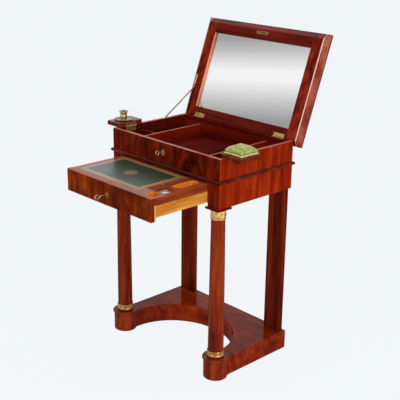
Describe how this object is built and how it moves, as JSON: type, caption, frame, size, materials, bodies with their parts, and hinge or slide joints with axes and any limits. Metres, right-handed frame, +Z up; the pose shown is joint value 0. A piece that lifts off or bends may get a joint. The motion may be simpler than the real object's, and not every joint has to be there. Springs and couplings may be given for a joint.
{
  "type": "writing table",
  "caption": "Small mahogany dressing and writing table with a mirror lid on a folding stay, fitted compartments, a leather-topped drawer, front columns and a hollowed plinth",
  "frame": {"origin": "on the floor, under the middle of the rear posts", "axes": "X to the sitter's right, Y to the back, Z up"},
  "size_m": [0.6315, 0.7506, 1.0663],
  "materials": {
    "mahogany": "french polished flame veneer",
    "oak": "plain oiled drawer lining",
    "satinwood": "waxed pale lining",
    "gilt_bronze": "gilt with worn high points",
    "brass": "aged lacquered brass",
    "key_steel": "polished steel with light tarnish",
    "silver_plate": "worn silver plate",
    "ink_glass": "clear moulded glass",
    "mirror": "silvered plate glass",
    "green_leather": "dark green with a gold tooled border",
    "velvet": "yellow green pile with pale gold braid"
  },
  "bodies": {
    "case": {"plinth": "mahogany", "drum_left": "mahogany", "drum_right": "mahogany", "column_left": "mahogany", "column_right": "mahogany", "base_rings": "gilt_bronze", "capital_bands": "gilt_bronze", "abacus_plates": "mahogany", "rear_post_left": "mahogany", "rear_post_right": "mahogany", "side_left": "mahogany", "side_right": "mahogany", "back_panel": "mahogany", "upper_front_panel": "mahogany", "front_stiles": "mahogany", "drawer_rail": "mahogany", "bottom_board": "oak", "compartment_floor": "mahogany", "drawer_guides": "oak", "waist_moulding": "mahogany", "long_dividers": "mahogany", "cross_dividers": "mahogany", "case_hinge_leaves": "brass", "board_wall_leaves": "brass", "stay_bracket": "brass", "upper_lock_case": "key_steel", "upper_escutcheon": "brass"},
    "lid": {"lid_frame": "mahogany", "lid_top_panel": "mahogany", "mirror_glass": "mirror", "mirror_backboard": "oak", "strike_plate": "brass", "lid_hinge_leaves": "brass", "stay_plate": "brass"},
    "candle_flap": {"candle_board": "mahogany", "candle_board_leaf": "brass", "drip_pan": "brass", "candle_socket": "brass"},
    "pincushion_flap": {"pincushion_board": "mahogany", "pincushion_board_leaf": "brass", "pincushion": "velvet"},
    "stay_lower": {"stay_lower_arm": "brass"},
    "stay_upper": {"stay_upper_arm": "brass"},
    "drawer": {"drawer_front": "mahogany", "drawer_sides": "oak", "drawer_back": "oak", "drawer_bottom": "oak", "writing_frame": "mahogany", "leather_panel": "green_leather", "square_liner": "satinwood", "pen_tray": "satinwood", "ink_block": "satinwood", "ink_pot": "ink_glass", "ink_lid": "silver_plate", "drawer_lock_case": "key_steel", "drawer_escutcheon": "brass"},
    "box_key": {"upper_key": "key_steel"},
    "box_bolt": {"upper_bolt": "key_steel"},
    "drawer_key": {"drawer_key": "key_steel"},
    "drawer_bolt": {"drawer_bolt": "key_steel"}
  },
  "joints": [
    {"name": "lid_hinge", "type": "hinge", "parent": "case", "child": "lid", "pos_m": [0, 0.0185, 0.74], "axis": [1, 0, 0], "range_deg": [0, 110.1]},
    {"name": "candle_board_hinge", "type": "hinge", "parent": "case", "child": "candle_flap", "pos_m": [-0.242, -0.248, 0.7373], "axis": [0, 1, 0], "range_deg": [0, 180]},
    {"name": "pincushion_board_hinge", "type": "hinge", "parent": "case", "child": "pincushion_flap", "pos_m": [0.242, -0.257, 0.7373], "axis": [0, -1, 0], "range_deg": [0, 180]},
    {"name": "stay_foot", "type": "hinge", "parent": "case", "child": "stay_lower", "pos_m": [-0.249, -0.084, 0.7435], "axis": [1, 0, 0], "range_deg": [-32.48, 0]},
    {"name": "stay_head", "type": "hinge", "parent": "lid", "child": "stay_upper", "pos_m": [-0.251, 0.05615, 0.83271], "axis": [1, 0, 0], "range_deg": [0, 37.42]},
    {"name": "drawer_slide", "type": "slide", "parent": "case", "child": "drawer", "axis": [0, 1, 0], "range_m": [0, 0.226]},
    {"name": "box_key_turn", "type": "hinge", "parent": "case", "child": "box_key", "pos_m": [0, -0.315, 0.71], "axis": [0, 1, 0], "range_deg": [0, 180]},
    {"name": "box_bolt_slide", "type": "slide", "parent": "case", "child": "box_bolt", "axis": [0, 0, 1], "range_m": [0, 0.006]},
    {"name": "drawer_key_turn", "type": "hinge", "parent": "drawer", "child": "drawer_key", "pos_m": [0, -0.541, 0.6185], "axis": [0, 1, 0], "range_deg": [0, 180]},
    {"name": "drawer_bolt_slide", "type": "slide", "parent": "drawer", "child": "drawer_bolt", "axis": [0, 0, 1], "range_m": [0, 0.006]}
  ],
  "couplings": [
    {"joint": "candle_board_hinge", "follows": "lid_hinge", "ratio": 1.6349},
    {"joint": "pincushion_board_hinge", "follows": "lid_hinge", "ratio": 1.6349},
    {"joint": "stay_foot", "follows": "lid_hinge", "ratio": -0.29497},
    {"joint": "stay_head", "follows": "lid_hinge", "ratio": 0.3399},
    {"joint": "box_key_turn", "follows": "box_bolt_slide", "rad_per_m": 523.6},
    {"joint": "drawer_key_turn", "follows": "drawer_bolt_slide", "rad_per_m": 523.6}
  ]
}
